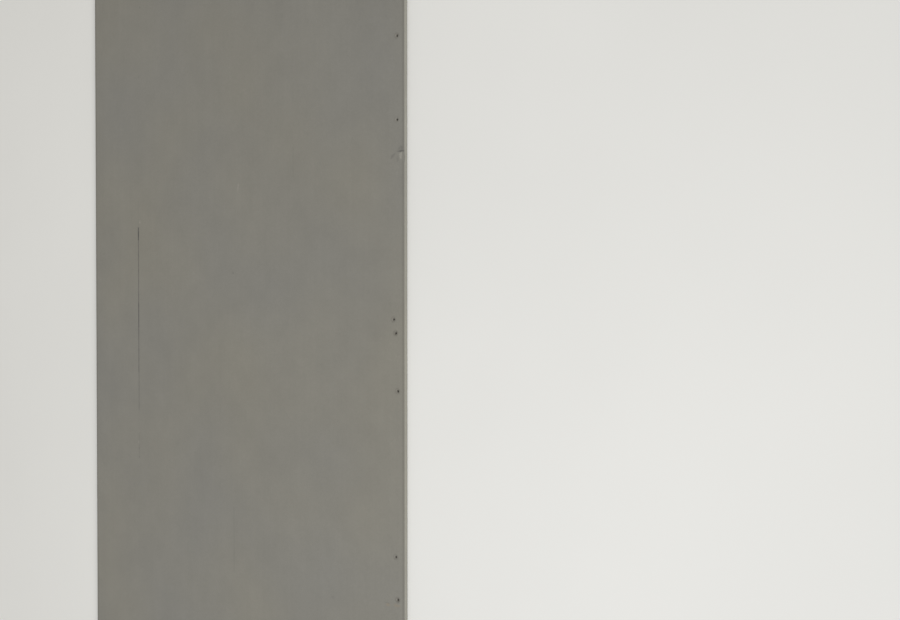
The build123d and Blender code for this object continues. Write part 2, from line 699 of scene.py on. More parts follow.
@dataclass(frozen=True)
class FoamedGypsum(Finish):
    """Gypsum core of wallboard, foamed and sawn across, seen at the ends and in the screw holes.

    To the eye it is a chalky off-white, dusty and dull, pitted by the bubbles of the foam: many
    small ones and a few large, each darkened with painted shade. In the screw holes a dark residue
    clings to it.
    """

    name: ClassVar[str] = "foamed_gypsum"

    colour: str = "#dcd9d0"
    dust: str = "#cdc9be"
    # pit: the darker colour of painted shade in the bubbles' pits.
    pit: str = "#99958a"
    residue: str = "#443f39"
    clean_patches: Pattern = Pattern(18.0, 0.0, 1.0)
    crumbs: Pattern = Pattern(0.7, 0.93, 1.07)
    crumb_relief: Pattern = Pattern(0.35, 0.0, 0.3)
    residue_patches: Pattern = Pattern(1.2, 0.85, 1.1)

    # Bubbles: one in each cell of these sizes. Its radius, as a share of the cell, grows over
    # bubble_radii as the cell's random number goes over bubble_lot, so that many are small.
    bubbles_mm: tuple[float, float] = (1.0, 2.7)
    bubble_lot: tuple[float, float] = (0.35, 0.75)
    bubble_radii: tuple[float, float] = (0.02, 0.42)
    pit_full: float = 0.5
    pit_strength: float = 0.6
    pit_patches: Pattern = Pattern(0.7, 0.5, 1.1)

    relief_mm: float = 0.6
    relief_strength: float = 0.8
    roughness: float = 0.95
    specular: float = 0.2

    def pits(self, tree: Tree, place: Socket) -> list[Socket]:
        """Cut the bubbles of the foam open.

        Args:
            tree: the material's node tree.
            place: the coordinates, in metres.

        Returns:
            How deep the surface lies in a pit, from 0 to 1, for each size of bubble.
        """
        patchy = self.pit_patches.draw(tree, place)
        limits = {"From Min": self.bubble_lot[0], "From Max": self.bubble_lot[1]}
        limits |= {"To Min": self.bubble_radii[0], "To Max": self.bubble_radii[1]}
        pits = []
        for size in self.bubbles_mm:
            inputs = {"Vector": place, "Scale": per_metre(size)}
            cells = add_node(tree, "ShaderNodeTexVoronoi", None, inputs)
            lot = {"Value": cells.outputs["Color"], **limits}
            radius = add_node(tree, "ShaderNodeMapRange", None, lot).outputs[0]
            sides = {0: cells.outputs["Distance"], 1: radius}
            out = add_node(tree, "ShaderNodeMath", {"operation": "DIVIDE"}, sides).outputs[0]
            pits.append(fading(tree, out, self.pit_full, 1.0, self.pit_strength, patchy))
        return pits

    def paint(self, tree: Tree, place: Socket) -> dict[str, Any]:
        """Work out the shader's inputs.

        Args:
            tree: the material's node tree.
            place: the coordinates, in metres.

        Returns:
            The colour, roughness, specular level and the relief of pits and crumbs.
        """
        pits = self.pits(tree, place)
        residue = carried(tree, RESIDUE, self.residue_patches.draw(tree, place))
        coats = [Coat(linear(self.colour), self.clean_patches.draw(tree, place))]
        # Painted shade: the pits are darkened, as the shade inside the bubbles.
        coats += [Coat(linear(self.pit), pit) for pit in pits]
        coats.append(Coat(self.crumbs.draw(tree, place), 1.0, Mix.SHADE))
        coats.append(Coat(linear(self.residue), residue))
        both = {0: pits[0], 1: pits[1]}
        deeper = add_node(tree, "ShaderNodeMath", {"operation": "MAXIMUM"}, both)
        rough = {0: deeper.outputs[0], 1: self.crumb_relief.draw(tree, place)}
        relief = {"Strength": self.relief_strength, "Distance": self.relief_mm * MM}
        relief["Height"] = add_node(tree, "ShaderNodeMath", {"operation": "ADD"}, rough).outputs[0]
        return {
            "Base Color": layered(tree, linear(self.dust), coats),
            "Roughness": self.roughness,
            "Specular IOR Level": self.specular,
            "Normal": add_node(tree, "ShaderNodeBump", {"invert": True}, relief).outputs[0],
        }


@dataclass(frozen=True)
class MattFloor(Finish):
    """Matt painted studio floor: pale, even and without gloss, with a faint cloud of wear.

    From fade_from to fade_to, in metres out, it passes into the pale backdrop, so that no horizon
    shows.
    """

    name: ClassVar[str] = "matt_floor"

    backdrop: str
    colour: str = "#e5e4e1"
    clouds: Pattern = Pattern(900.0, 0.985, 1.015)
    fade_from: float = 2.2
    fade_to: float = 8.0
    roughness: float = 0.9
    specular: float = 0.2

    def paint(self, tree: Tree, place: Socket) -> dict[str, Any]:
        """Work out the shader's inputs.

        Args:
            tree: the material's node tree.
            place: the coordinates, in metres.

        Returns:
            The colour, roughness and specular level.
        """
        clouds = Coat(self.clouds.draw(tree, place), 1.0, Mix.SHADE)
        return {
            "Base Color": layered(tree, linear(self.colour), [clouds]),
            "Roughness": self.roughness,
            "Specular IOR Level": self.specular,
        }

    def surround(self, tree: Tree, place: Socket, surface: Socket) -> Socket:
        """Pass into the backdrop far out.

        Args:
            tree: the material's node tree.
            place: the coordinates, in metres.
            surface: the floor's own shader.

        Returns:
            The shader with the backdrop.
        """
        away = add_node(tree, "ShaderNodeVectorMath", {"operation": "LENGTH"}, {0: place})
        out = away.outputs["Value"]
        share = fading(tree, out, self.fade_to, self.fade_from, 1.0, backdrop_rays(tree))
        glow = add_node(tree, "ShaderNodeEmission", None, {"Color": linear(self.backdrop)})
        sides = {0: share, 1: surface, 2: glow.outputs[0]}
        return add_node(tree, "ShaderNodeMixShader", None, sides).outputs[0]


@dataclass(frozen=True)
class BoardSection:
    """The sheet's section in millimetres: tapered face, wrapped long edges and lapped back.

    lap_bend is how far in and how high the back paper bends as it laps down off the fold strip.
    The hole columns are the distances from a long edge between which the screw holes' cells lie.
    """

    width: float
    thickness: float
    taper_width: float = 50.0
    taper_depth: float = 1.3
    taper_start_radius: float = 400.0
    face_corner: float = 2.0
    back_corner: float = 1.2
    fold_width: float = 15.0
    fold_step: float = 0.3
    lap_width: float = 0.35
    lap_bend: tuple[float, float] = (0.15, 0.08)
    hole_column: tuple[float, float] = (44.0, 8.0)
    back_hole_column: tuple[float, float] = (44.0, 16.0)

    # How finely the outline is divided: the widest step, and the steps of each shorter stretch.
    wide_step: float = 40.0
    taper_steps: int = 4
    column_steps: int = 8
    shoulder_steps: int = 3
    face_corner_steps: int = 8
    edge_steps: int = 6
    back_corner_steps: int = 5
    fold_steps: int = 3

    @property
    def half(self) -> float:
        """Half the width."""
        return self.width / 2

    @property
    def slope(self) -> float:
        """How much the tapered face falls for each millimetre across."""
        return self.taper_depth / self.taper_width

    @property
    def tilt(self) -> float:
        """The angle of the tapered face, in radians."""
        return math.atan(self.slope)

    @property
    def blend(self) -> float:
        """How far the rounding of the taper's start reaches to each side of it."""
        return self.taper_start_radius * math.tan(self.tilt / 2)

    @property
    def edge_height(self) -> float:
        """Height at which the tapered face would meet the long edge, were it not rounded."""
        return self.thickness - self.taper_depth

    @property
    def corner_start(self) -> float:
        """How far from the long edge the rounded corner under the face starts."""
        return self.face_corner * (1 - math.sin(self.tilt))

    @property
    def corner_height(self) -> float:
        """Height of the centre of the rounded corner between the face and a long edge."""
        return self.edge_height + self.face_corner * (self.slope - math.hypot(1, self.slope))

    def face_height(self, x: float) -> float:
        """Height of the face.

        Args:
            x: distance from the middle of the sheet, to either side.

        Returns:
            The height above the underside.
        """
        inset = self.half - abs(x)
        if inset < self.corner_start:
            off_centre = self.face_corner - max(inset, 0.0)
            return self.corner_height + math.sqrt(max(self.face_corner**2 - off_centre**2, 0.0))
        if inset < self.taper_width - self.blend:
            return self.thickness - self.slope * (self.taper_width - inset)
        past = max(self.taper_width + self.blend - inset, 0.0)
        return self.thickness - past**2 / (2 * self.taper_start_radius)

    def back_height(self, x: float) -> float:
        """Height of the back, which is 0 apart from the fold strips and the rounded corners.

        Args:
            x: distance from the middle of the sheet, to either side.

        Returns:
            The height above the floor.
        """
        inset = self.half - abs(x)
        if inset > self.fold_width:
            return 0.0
        off_centre = max(self.back_corner - max(inset, 0.0), 0.0)
        return self.fold_step + self.back_corner - math.sqrt(self.back_corner**2 - off_centre**2)

    def face_part(self) -> Outline:
        """The outline's part in the face, on the right half.

        Returns:
            Points (x, z) from the middle of the face to the rounded corner.
        """
        flat_to = self.taper_width + self.blend
        insets = spread(self.half, flat_to, round(self.half / self.wide_step))
        insets += spread(flat_to, self.hole_column[0], self.taper_steps)
        insets += spread(*self.hole_column, self.column_steps)
        insets += spread(self.hole_column[1], self.corner_start, self.shoulder_steps)
        return [(self.half - inset, self.face_height(self.half - inset)) for inset in insets]

    def edge_part(self) -> Outline:
        """The outline's part round the right edge.

        Returns:
            Points (x, z) down the rounded corner, the edge and the corner under it.
        """
        points = []
        for turn in spread(math.pi / 2 - self.tilt, 0.0, self.face_corner_steps):
            x = self.half - self.face_corner * (1 - math.cos(turn))
            points.append((x, self.corner_height + self.face_corner * math.sin(turn)))
        low = self.fold_step + self.back_corner
        points += [(self.half, z) for z in spread(self.corner_height, low, self.edge_steps)]
        for turn in spread(0.0, math.pi / 2, self.back_corner_steps):
            x = self.half - self.back_corner * (1 - math.cos(turn))
            points.append((x, low - self.back_corner * math.sin(turn)))
        return points

    def back_part(self) -> Outline:
        """The outline's part in the back, on the right half.

        Returns:
            Points (x, z) over the fold strip, down its lap and on to the middle of the back.
        """
        strip = spread(self.back_corner, self.fold_width, self.fold_steps)
        points = [(self.half - inset, self.fold_step) for inset in strip]
        lap = self.half - self.fold_width
        points += [(lap, self.fold_step), (lap - self.lap_bend[0], self.lap_bend[1])]
        points.append((lap - self.lap_width, 0.0))
        far, near = self.back_hole_column
        insets = spread(near, far, self.column_steps)
        insets += spread(far, self.half, round(self.half / self.wide_step))
        return points + [(self.half - inset, 0.0) for inset in insets] + [(0.0, 0.0)]

    def outline(self) -> Outline:
        """The whole closed outline, from the middle of the face by way of the right edge."""
        right = self.face_part() + self.edge_part() + self.back_part()
        return right + [(-x, z) for x, z in reversed(right[1:-1])]


@dataclass(frozen=True)
class Relief:
    """The slight unevenness of a real sheet, always into it, so that it stays in its box.

    Sizes are in millimetres: slow waves in the face, wavy long edges, and the knock that dented
    the right edge. The waves in the face die out below it, over wave_fade of the thickness.
    side_apart keeps the two edges from waving alike, and edge_layers is how many times faster
    an edge changes through the thickness than along the sheet.
    """

    section: BoardSection
    face_wave: float = 0.10
    face_wave_length: float = 330.0
    wave_fade: tuple[float, float] = (0.4, 0.75)
    edge_wave: float = 0.35
    edge_wave_length: float = 70.0
    edge_reach: float = 10.0
    side_apart: float = 50.0
    edge_layers: float = 4.0
    knock_place: float = 368.0
    knock_length: float = 40.0
    knock_depth: float = 1.6
    knock_tilt_deg: float = 15.0
    crumple: float = 0.3
    crumple_length: float = 6.0

    @property
    def knock_ball(self) -> tuple[Vector, float]:
        """The ball whose cap is the knock.

        Returns:
            Its centre and its radius.
        """
        radius = ((self.knock_length / 2) ** 2 + self.knock_depth**2) / (2 * self.knock_depth)
        reach = radius - self.knock_depth
        tilt = math.radians(self.knock_tilt_deg)
        x = self.section.half + reach * math.sin(tilt)
        z = self.section.edge_height + reach * math.cos(tilt)
        return Vector((x, self.knock_place, z)), radius

    def moved(self, x: float, y: float, z: float) -> Vector:
        """Where a point of the ideal sheet lies on the real one.

        Args:
            x: place across the width.
            y: place along the length.
            z: height.

        Returns:
            The point's real place, in millimetres.
        """
        inset = self.section.half - abs(x)
        top = smooth(z, *(share * self.section.thickness for share in self.wave_fade))
        drop = self.face_wave * top * ripple(x, y, 0.0, self.face_wave_length)
        near = 1 - smooth(inset, 0.0, self.edge_reach)
        side = math.copysign(1.0, x)
        place = (side * self.side_apart, y, z * self.edge_layers)
        pull = self.edge_wave * near * ripple(*place, self.edge_wave_length)
        point = Vector((x - side * pull, y, z - drop))
        centre, radius = self.knock_ball
        away = point - centre
        if away.length < radius:
            crease = self.crumple * ripple(x, y, z, self.crumple_length)
            crease *= min(1.0, radius - away.length)
            point = centre + away.normalized() * (radius + crease)
        return point


@dataclass(frozen=True)
class Ring:
    """One ring of vertices in a screw hole's lining, in millimetres.

    blend is how far it has gone from the shape of the open cell to a true round. wander and rough
    are how far its radius and height stray round the hole. residue and torn are how much of each
    it carries. surface is what covers the band that leads to it from the ring before.
    """

    radius: float
    height: float
    datum: Datum
    surface: Surface
    blend: float = 1.0
    wander: float = 0.0
    rough: float = 0.0
    residue: float = 0.0
    torn: float = 0.0


@dataclass(frozen=True)
class ScrewHole:
    """One screw hole, in millimetres: its dimple, torn rim, head seat, shank hole and exit.

    dirt is how dark the smudge round it is, from 0 to 1.
    """

    x: float
    y: float
    shank: float
    dirt: float = 1.0
    head: float = 4.1
    half_cell: float = 14.0

    # The dimple, and the lip that the tearing paper raised round it. The lip rises over lip_rise
    # past the dimple's rim and falls from lip_fall on. It stands at lip_share of its height, give
    # or take a ragged lip_ragged.
    dimple_width: float = 1.4
    dimple_depth: float = 0.4
    dimple_past: float = 0.3
    lip: float = 0.14
    lip_rise: tuple[float, float] = (-0.4, 0.5)
    lip_fall: float = 0.6
    lip_share: float = 0.6
    lip_ragged: float = 0.8

    # The ragged amounts: the size of one rag, and how far round the hole's circle they go.
    rag_length: float = 3.1
    rag_circle: float = 9.0

    # The smudge: the radius of each ring of soiled paper and its residue.
    ring_out: float = 9.5
    smudge: tuple[tuple[float, float], ...] = (
        (8.8, 0.06), (7.8, 0.13), (7.0, 0.2), (6.3, 0.26), (5.7, 0.33), (5.1, 0.42), (4.6, 0.5),
    )

    # The head seat. It starts a little under the torn rim, which hangs over it, and carries the
    # residue seat_residue, and up to seat_soiled more where the smudge is dark.
    seat_depth: float = 2.7
    seat_steps: int = 6
    seat_sunk: float = 0.25
    seat_widest: float = 3.95
    seat_wander: float = 0.06
    seat_residue: float = 0.77
    seat_soiled: float = 0.08
    shank_wander: float = 0.03

    # The exit at the back: a broken cone in the core, and the ragged paper round it.
    exit_wander: float = 0.12
    back_wander: float = 0.35
    back_ring_out: float = 4.4

    def tear(self, angle: float, size: float) -> float:
        """A ragged amount from -size to size that changes with the angle round the hole.

        Args:
            angle: direction from the hole's axis.
            size: the largest amount.

        Returns:
            The amount.
        """
        x = math.cos(angle) * self.rag_circle + self.x
        y = math.sin(angle) * self.rag_circle + self.y
        return size * (2 * ripple(x, y, 0, self.rag_length) - 1)

    def face_drop(self, radius: float, angle: float) -> float:
        """How far the paper lies below the clean face.

        Args:
            radius: distance from the hole's axis.
            angle: direction from the axis.

        Returns:
            The drop, which is negative on the raised lip round the dimple.
        """
        rim = self.head + self.dimple_width
        rise = smooth(radius, rim + self.lip_rise[0], rim + self.lip_rise[1])
        raised = self.lip * rise * (1 - smooth(radius, rim + self.lip_fall, self.ring_out))
        dip = self.dimple_depth * (1 - smooth(radius, self.head, rim + self.dimple_past))
        return dip - raised * (self.lip_share + self.tear(angle, self.lip_ragged))

    def paper_rings(self) -> list[Ring]:
        """The soiled paper, down through the dimple to the torn rim.

        Returns:
            The rings, inwards from the open cell in the face.
        """
        paper, dirt = Surface.FACE_PAPER, self.dirt
        rings = [Ring(self.ring_out, 0, Datum.FACE, paper, blend=blend) for blend in (0.5, 1.0)]
        for radius, residue in self.smudge:
            rings.append(Ring(radius, 0, Datum.FACE, paper, residue=residue * dirt))
        axis, soiled = Datum.AXIS, 0.5 * dirt
        rings += [
            Ring(4.3, 0.26, axis, paper, wander=0.4, rough=0.14, residue=soiled, torn=0.8),
            Ring(4.1, 0.62, axis, paper, wander=0.35, rough=0.12, residue=0.6, torn=0.5),
        ]
        return rings

    def seat_rings(self) -> list[Ring]:
        """The trumpet-shaped head seat, pressed into the core.

        Returns:
            The rings, from the torn rim down to the shank hole.
        """
        flare = self.head - self.shank
        curve = (flare**2 + self.seat_depth**2) / (2 * flare)
        deepest = self.dimple_depth + self.seat_depth
        places = []
        for turn in spread(math.acos(1 - flare / curve), 0.0, self.seat_steps)[1:]:
            radius = min(self.shank + curve * (1 - math.cos(turn)), self.seat_widest)
            drop = deepest - curve * math.sin(turn) + self.seat_sunk
            places.append((radius, drop, self.seat_wander))
        places.append((self.shank, deepest + self.seat_sunk, self.shank_wander))
        residue, core = self.seat_residue + self.seat_soiled * self.dirt, Surface.GYPSUM
        return [
            Ring(radius, drop, Datum.AXIS, core, wander=wander, residue=residue)
            for radius, drop, wander in places
        ]

    def exit_rings(self) -> list[Ring]:
        """The shank hole and its ragged exit.

        Returns:
            The rings, from the shank hole down to the open cell in the back.
        """
        bore = (
            (self.shank, 5.0, self.shank_wander, 0.9),
            (self.shank, 2.2, self.shank_wander, 0.6),
            (2.1, 1.0, self.exit_wander, 0.3),
            (2.9, 0.45, self.exit_wander, 0.1),
        )
        core, paper, stray = Surface.GYPSUM, Surface.BACK_PAPER, self.back_wander
        rings = [
            Ring(radius, height, Datum.BACK, core, wander=wander, residue=residue)
            for radius, height, wander, residue in bore
        ]
        rings += [
            Ring(3.3, 0.3, Datum.BACK, core, wander=stray, torn=0.9),
            Ring(3.6, 0.02, Datum.BACK, paper, wander=stray, torn=0.5),
            Ring(self.back_ring_out, 0.0, Datum.BACK, paper, blend=0.8),
        ]
        return rings

    def lining(self) -> list[Ring]:
        """The rings of the lining, from the open cell in the face to the one in the back."""
        return self.paper_rings() + self.seat_rings() + self.exit_rings()


@dataclass
class CutEnd:
    """A sawn end of the sheet, in millimetres: rough foamed gypsum between the papers' cut edges.

    paper is how far in the papers reach, and the core starts at core_past times that. The outside
    is still whole at straight before the cut. The papers fray by up to fray, and the core lies
    back by least_recess to most_recess, in lumps of these sizes.
    """

    section: BoardSection
    relief: Relief
    end: float
    paper: float = 0.35
    core_past: float = 1.05
    fray: float = 0.35
    fray_length: float = 2.2
    least_recess: float = 0.3
    most_recess: float = 1.5
    lumps: tuple[float, float] = (6.0, 2.1)
    step: float = 1.5
    straight: float = 1.1
    lap_clear: float = 0.6

    # How far from a long edge the outermost columns lie, with one at each further step, and the
    # levels as shares of the thickness.
    across: tuple[float, ...] = (0.0, 0.05, 0.15, 0.35, 0.6, 1.0, 1.5, 2.0, 3.0, 4.2, 5.6)
    up: tuple[float, ...] = (
        0.0, 0.028, 0.06, 0.12, 0.21, 0.31, 0.41, 0.51, 0.61, 0.71, 0.8, 0.88, 0.94, 0.972, 1.0,
    )

    def columns(self) -> list[float]:
        """Places across the width, closest together at the rounded edges.

        Returns:
            The places, from the left edge to the right one.
        """
        half = self.section.half
        laps = [self.section.fold_width, self.section.fold_width + self.section.lap_width]
        first = self.across[-1] + self.step
        count = int((half - first) / self.step)
        insets = [*self.across, *(first + self.step * number for number in range(count))]
        clear = [
            inset for inset in insets if all(abs(inset - lap) > self.lap_clear for lap in laps)
        ]
        right = sorted(half - inset for inset in clear + laps)
        return [-x for x in reversed(right)] + [0.0] + right

    def before(self, x: float, share: float) -> Vector:
        """A point of the sheet's outside just before the cut, where nothing is frayed yet.

        Args:
            x: place across the width.
            share: 0 at the back, 1 at the face.

        Returns:
            The point.
        """
        low, high = self.section.back_height(x), self.section.face_height(x)
        place = self.end - math.copysign(self.straight, self.end)
        return self.relief.moved(x, place, low + share * (high - low))

    def point(self, x: float, share: float) -> tuple[Vector, bool]:
        """One point of the cut.

        Args:
            x: place across the width.
            share: 0 at the back, 1 at the face.

        Returns:
            The point, and whether it lies in the core.
        """
        low, high = self.section.back_height(x), self.section.face_height(x)
        z = low + share * (high - low)
        inside = min(z - low, high - z, self.section.half - abs(x))
        in_core = inside > self.paper * self.core_past
        if in_core:
            rough = sum(ripple(x, self.end, z, size) for size in self.lumps) / len(self.lumps)
            recess = self.least_recess + (self.most_recess - self.least_recess) * rough * rough
        else:
            recess = self.fray * ripple(x, self.end, z, self.fray_length) ** 2
        point = self.relief.moved(x, self.end, z)
        point.y -= math.copysign(1.0, self.end) * recess
        return point, in_core


@dataclass
class WallboardSheet:
    """The whole sheet as one closed mesh, with its finishes, in place of the plain solid.

    Sizes are in millimetres. The skin is a grid: a row at each of rows, with one vertex for each
    point of the section's outline. grid holds the vertices made so far, by point and row, and
    open_edges counts the edges of the finished mesh that don't join two faces.
    """

    piece: ClassVar[str] = "gypsum_wallboard"

    section: BoardSection
    relief: Relief
    holes: list[ScrewHole]
    length: float
    finishes: tuple[Finish, ...]

    # The rows: how far from the ends they stop, their step, how far they keep from the closer
    # rows at the holes and the knock, and how close those are.
    end_margin: float = 2.0
    row_step: float = 20.0
    row_clear: float = 5.0
    cell_steps: int = 8
    knock_margin: float = 8.0
    knock_row: float = 2.5

    # The back paper covers what lies lower than these shares of the fold strip's step.
    back_share: float = 0.9
    end_back_share: float = 0.5

    # Where round a hole the paper shows torn: between these ragged amounts, at a turn of its own.
    torn_turn: float = 2.0
    torn_none: float = -0.35
    torn_full: float = 0.4

    crisp_deg: float = 38.0
    outline: Outline = field(init=False)
    rows: list[float] = field(init=False)
    open_edges: int = field(init=False)
    mesh: bmesh.types.BMesh = field(default_factory=bmesh.new)
    grid: dict[tuple[int, int], Vert] = field(default_factory=dict)

    def __post_init__(self) -> None:
        """Lay out the points of the section and the rows along the length."""
        self.outline = self.section.outline()
        self.rows = self.row_places()

    def row_places(self) -> list[float]:
        """Places along the length where the mesh has a row of points.

        Returns:
            The places, from the near end to the far one.
        """
        fixed = set()
        spans = []
        for hole in self.holes:
            low, high = hole.y - hole.half_cell, hole.y + hole.half_cell
            spans.append((low, high))
            fixed.update(spread(low, high, self.cell_steps) + [high])
        reach = self.relief.knock_length / 2 + self.knock_margin
        low, high = self.relief.knock_place - reach, self.relief.knock_place + reach
        spans.append((low, high))
        fixed.update(spread(low, high, round(2 * reach / self.knock_row)) + [high])
        end, clear = self.length / 2 - self.end_margin, self.row_clear
        for place in spread(-end, end, round(2 * end / self.row_step)) + [end]:
            if all(place < low - clear or place > high + clear for low, high in spans):
                fixed.add(place)
        return sorted(fixed)

    def vertex(self, point: Vector, residue: float = 0.0, torn: float = 0.0) -> Vert:
        """Add one point to the mesh.

        Args:
            point: its place in millimetres.
            residue: how much dark residue lies there, from 0 to 1.
            torn: how much torn paper shows there, from 0 to 1.

        Returns:
            The new vertex.
        """
        vertex = self.mesh.verts.new(point * MM)
        vertex[self.mesh.verts.layers.float[RESIDUE]] = residue
        vertex[self.mesh.verts.layers.float[TORN]] = torn
        return vertex

    def face(self, corners: Iterable[Vert], surface: Surface) -> None:
        """Add one face to the mesh.

        Args:
            corners: its vertices in order.
            surface: the finish that it wears.
        """
        made = self.mesh.faces.new(list(corners))
        made.material_index = int(surface)
        made.smooth = True

    def paper_at(self, corners: Loop) -> Surface:
        """The paper that covers a face beside a cut end.

        Args:
            corners: the face's vertices.

        Returns:
            Which paper it is.
        """
        highest = max(corner.co.z for corner in corners)
        on_back = highest < self.end_back_share * self.section.fold_step * MM
        return Surface.BACK_PAPER if on_back else Surface.FACE_PAPER

    def at(self, i: int, j: int) -> Vert:
        """The vertex of the outline's point i in row j, made when first asked for.

        Args:
            i: the point's number, which may go once past the last.
            j: the row's number.

        Returns:
            The vertex.
        """
        key = (i % len(self.outline), j)
        if key not in self.grid:
            x, z = self.outline[key[0]]
            self.grid[key] = self.vertex(self.relief.moved(x, self.rows[j], z))
        return self.grid[key]

    def hole_columns(self) -> list[list[int]]:
        """Find the outline's points that bound the open cells of the screw holes.

        Returns:
            Two points in the face and two in the back, the one farther from the edge first.
        """
        middle = self.section.thickness / 2
        sides = {True: self.section.hole_column, False: self.section.back_hole_column}
        columns = []
        for on_face, insets in sides.items():
            xs = {n: x for n, (x, z) in enumerate(self.outline) if (z > middle) == on_face}
            columns.append([nearest(xs, self.section.half - inset) for inset in insets])
        return columns

    def rim(self, column: list[int], cell: list[int]) -> Loop:
        """Go round one open cell.

        Args:
            column: the outline's points that bound it.
            cell: the rows that bound it.

        Returns:
            The vertices round it.
        """
        (inner, outer), (first, last) = column, cell
        step = 1 if outer > inner else -1
        keys = [(i, first) for i in range(inner, outer, step)]
        keys += [(outer, j) for j in range(first, last)]
        keys += [(i, last) for i in range(outer, inner, -step)]
        keys += [(inner, j) for j in range(last, first, -1)]
        return [self.at(*key) for key in keys]

    def skin(self) -> None:
        """Cover the sheet all round, but for the screw holes' open cells, and line the holes."""
        columns = self.hole_columns()
        rows = dict(enumerate(self.rows))
        cells = []
        for hole in self.holes:
            ends = (hole.y - hole.half_cell, hole.y + hole.half_cell)
            cells.append([nearest(rows, end) for end in ends])
        open_cells = set()
        for first, last in cells:
            for low, high in map(sorted, columns):
                open_cells.update((i, j) for i in range(low, high) for j in range(first, last))
        back_below = self.section.fold_step * self.back_share
        for i in range(len(self.outline)):
            after = (i + 1) % len(self.outline)
            on_back = (self.outline[i][1] + self.outline[after][1]) / 2 < back_below
            surface = Surface.BACK_PAPER if on_back else Surface.FACE_PAPER
            for j in range(len(self.rows) - 1):
                if (i, j) not in open_cells:
                    corners = [(i, j), (after, j), (after, j + 1), (i, j + 1)]
                    self.face([self.at(*corner) for corner in corners], surface)
        for hole, cell in zip(self.holes, cells):
            self.line_hole(hole, *(self.rim(column, cell) for column in columns))

    def add_ring(self, hole: ScrewHole, rim: Loop, ring: Ring) -> Loop:
        """Add one ring of vertices round a hole's axis.

        Args:
            hole: the screw hole.
            rim: the vertices round the open cell, which a ring with little blend follows.
            ring: what the ring is like.

        Returns:
            The ring's vertices.
        """
        above = self.relief.moved(hole.x, hole.y, self.section.face_height(hole.x)).z
        made = []
        last = None
        for number, vertex in enumerate(rim):
            away = Vector((vertex.co.x / MM - hole.x, vertex.co.y / MM - hole.y))
            own = math.atan2(away.y, away.x)
            if last is not None:
                own += math.tau * round((last - own) / math.tau)
            last = own
            even = RIM_START + math.tau * number / len(rim)
            angle = own + (even - own) * ring.blend
            radius = away.length + (ring.radius - away.length) * ring.blend
            radius += hole.tear(angle, ring.wander)
            x, y = hole.x + radius * math.cos(angle), hole.y + radius * math.sin(angle)
            height = ring.height + hole.tear(angle, ring.rough)
            if ring.datum is Datum.FACE:
                face = self.relief.moved(x, y, self.section.face_height(x)).z
                height = face - hole.face_drop(radius, angle)
            elif ring.datum is Datum.AXIS:
                height = above - height
            ragged = hole.tear(angle + self.torn_turn, 1.0)
            torn = ring.torn * smooth(ragged, self.torn_none, self.torn_full)
            made.append(self.vertex(Vector((x, y, height)), ring.residue, torn))
        return made

    def line_hole(self, hole: ScrewHole, face_rim: Loop, back_rim: Loop) -> None:
        """Fill a hole's open cells with its dimple, torn rim, seat, shank hole and ragged exit.

        Args:
            hole: the screw hole.
            face_rim: the vertices round its open cell in the face.
            back_rim: the vertices round its open cell in the back.
        """
        outer = face_rim
        for ring in hole.lining():
            rim = back_rim if ring.datum is Datum.BACK else face_rim
            inner = self.add_ring(hole, rim, ring)
            self.band(outer, inner, ring.surface)
            outer = inner
        self.band(outer, back_rim, Surface.BACK_PAPER)

    def band(self, outer: Loop, inner: Loop, surface: Surface | None = None) -> None:
        """Join two rings of as many vertices with a band of faces.

        Args:
            outer: the ring that the band starts from.
            inner: the ring that it leads to.
            surface: the finish that it wears, or none for the papers that meet a cut end there.
        """
        for number in range(len(outer)):
            after = (number + 1) % len(outer)
            corners = [outer[number], outer[after], inner[after], inner[number]]
            self.face(corners, self.paper_at(corners) if surface is None else surface)

    def zip_loops(self, first: Loop, second: Loop) -> None:
        """Join two closed loops of different counts with a band of triangles beside a cut end.

        Args:
            first: one loop's vertices.
            second: the other loop's vertices, which start near the first one's.
        """
        shares = []
        for loop in (first, second):
            total = [0.0]
            for number in range(len(loop)):
                run = loop[(number + 1) % len(loop)].co - loop[number].co
                total.append(total[-1] + run.length)
            shares.append([value / total[-1] for value in total])
        i = j = 0
        while i < len(first) or j < len(second):
            a, b = first[i % len(first)], second[j % len(second)]
            if j == len(second) or (i < len(first) and shares[0][i + 1] <= shares[1][j + 1]):
                i += 1
                corners = [a, first[i % len(first)], b]
            else:
                j += 1
                corners = [a, second[j % len(second)], b]
            self.face(corners, self.paper_at(corners))

    def close_end(self, cut: CutEnd, loop: Loop) -> None:
        """Close one end with its sawn face.

        Args:
            cut: the sawn end.
            loop: the vertices of the last row, from the middle of the face by the right edge.
        """
        xs = cut.columns()
        points, core = {}, {}
        for column, x in enumerate(xs):
            for level, share in enumerate(cut.up):
                place, core[column, level] = cut.point(x, share)
                points[column, level] = self.vertex(place)
        for i in range(len(xs) - 1):
            for j in range(len(cut.up) - 1):
                keys = [(i, j), (i + 1, j), (i + 1, j + 1), (i, j + 1)]
                inner = sum(core[key] for key in keys) >= len(keys) / 2
                surface = Surface.GYPSUM if inner else Surface.FACE_PAPER
                self.face([points[key] for key in keys], surface)
        right, top, middle = len(xs) - 1, len(cut.up) - 1, len(xs) // 2
        keys = [(column, top) for column in range(middle, right)]
        keys += [(right, level) for level in range(top, 0, -1)]
        keys += [(column, 0) for column in range(right, 0, -1)]
        keys += [(0, level) for level in range(0, top)]
        keys += [(column, top) for column in range(0, middle)]
        rim = [points[key] for key in keys]
        straight = [self.vertex(cut.before(xs[column], cut.up[level])) for column, level in keys]
        self.zip_loops(loop, straight)
        self.band(straight, rim)

    def crisp_edges(self) -> None:
        """Keep the shading crisp at sharp edges, but not within the crumbly core."""
        for edge in self.mesh.edges:
            in_core = all(face.material_index == Surface.GYPSUM for face in edge.link_faces)
            if not in_core and edge.calc_face_angle(0.0) > math.radians(self.crisp_deg):
                edge.smooth = False

